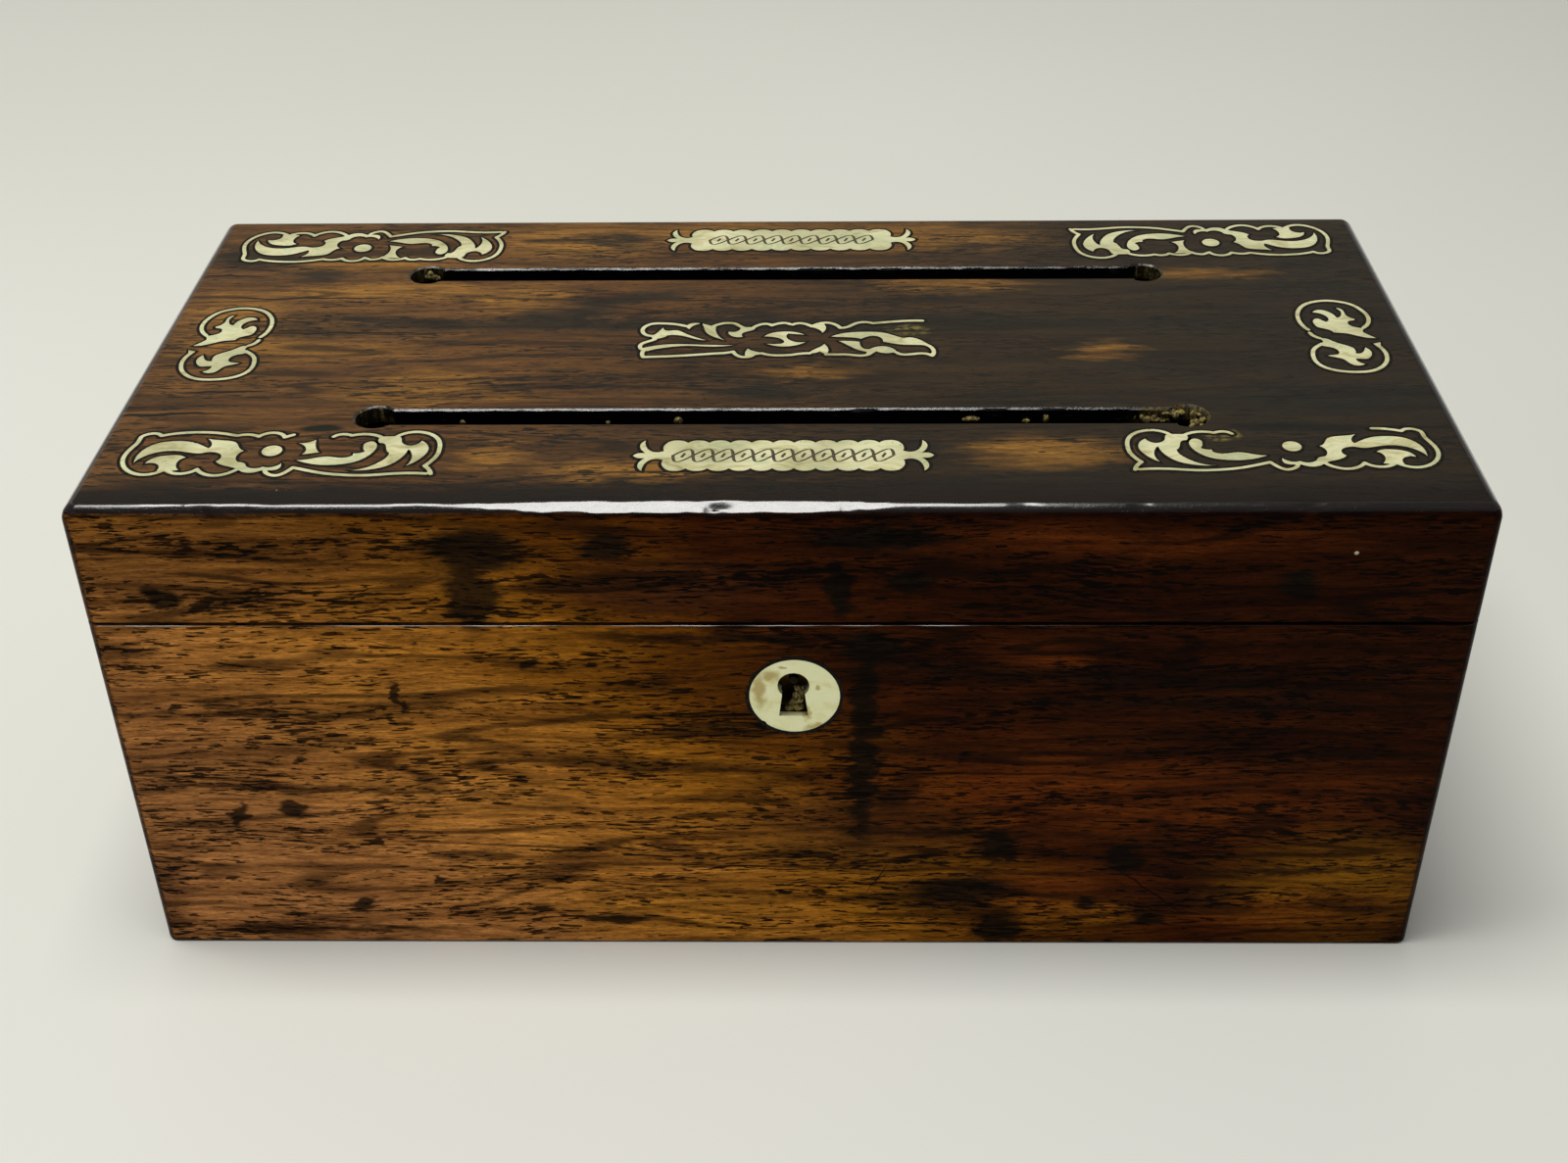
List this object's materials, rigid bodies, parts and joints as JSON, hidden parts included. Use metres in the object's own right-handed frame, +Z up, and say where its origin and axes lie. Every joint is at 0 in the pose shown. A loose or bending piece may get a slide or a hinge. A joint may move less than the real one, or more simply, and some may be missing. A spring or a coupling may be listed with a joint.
{
  "type": "letter box",
  "caption": "Rosewood-veneered wooden letter box with mother-of-pearl inlay, hinged lid with posting slots, divided inside and a keyed box lock.",
  "frame": {"origin": "middle of the underside, on the surface the box stands on", "axes": "+X to the right along the front, +Y towards the back where the hinges are, +Z up"},
  "size_m": [0.24, 0.116, 0.0995],
  "materials": {
    "rosewood_veneer": "French-polished rosewood, glossy and worn",
    "rosewood_facing": "polished rosewood edge facing",
    "carcass_mahogany": "planed mahogany, unpolished",
    "divider_mahogany": "planed and waxed mahogany",
    "lining_paper": "matt lining paper",
    "pearl": "polished mother-of-pearl",
    "brass_fittings": "aged brass",
    "screw_brass": "aged brass screw heads",
    "lock_steel": "filed and blued steel"
  },
  "bodies": {
    "base": {"back_compartment_lining": "lining_paper", "base_back_board": "carcass_mahogany", "base_back_veneer": "rosewood_veneer", "base_bottom_board": "carcass_mahogany", "base_front_board": "carcass_mahogany", "base_front_veneer": "rosewood_veneer", "base_left_board": "carcass_mahogany", "base_left_veneer": "rosewood_veneer", "base_right_board": "carcass_mahogany", "base_right_veneer": "rosewood_veneer", "base_rim_back": "rosewood_facing", "base_rim_front": "rosewood_facing", "base_rim_left": "rosewood_facing", "base_rim_right": "rosewood_facing", "divider": "divider_mahogany", "escutcheon": "pearl", "front_compartment_lining": "lining_paper", "hinge_base_screws": "screw_brass", "left_hinge_base_leaf": "brass_fittings", "left_hinge_pin": "lock_steel", "lock_case": "brass_fittings", "lock_pin": "lock_steel", "lock_plate": "brass_fittings", "lock_screws": "screw_brass", "lock_ward": "lock_steel", "right_hinge_base_leaf": "brass_fittings", "right_hinge_pin": "lock_steel"},
    "lid": {"back_label": "pearl", "back_left_panel": "pearl", "back_right_panel": "pearl", "centre_panel": "pearl", "front_label": "pearl", "front_left_panel": "pearl", "front_right_panel": "pearl", "hinge_lid_screws": "screw_brass", "left_hinge_lid_leaf": "brass_fittings", "left_scroll": "pearl", "lid_back_rail": "carcass_mahogany", "lid_back_veneer": "rosewood_veneer", "lid_front_rail": "carcass_mahogany", "lid_front_veneer": "rosewood_veneer", "lid_left_rail": "carcass_mahogany", "lid_left_veneer": "rosewood_veneer", "lid_lining": "lining_paper", "lid_right_rail": "carcass_mahogany", "lid_right_veneer": "rosewood_veneer", "lid_rim_back": "rosewood_facing", "lid_rim_front": "rosewood_facing", "lid_rim_left": "rosewood_facing", "lid_rim_right": "rosewood_facing", "lid_top_board": "carcass_mahogany", "lid_top_veneer": "rosewood_veneer", "link_plate": "brass_fittings", "link_plate_screws": "screw_brass", "right_hinge_lid_leaf": "brass_fittings", "right_scroll": "pearl"},
    "lock_bolt": {"lock_bolt": "lock_steel", "lock_bolt_spring": "lock_steel"}
  },
  "joints": [
    {"name": "lid_hinge", "type": "hinge", "parent": "base", "child": "lid", "pos_m": [0, 0.0554, 0.076], "axis": [-1, 0, 0], "range_deg": [0, 95]},
    {"name": "bolt_slide", "type": "slide", "parent": "base", "child": "lock_bolt", "axis": [1, 0, 0], "range_m": [0, 0.004]}
  ]
}
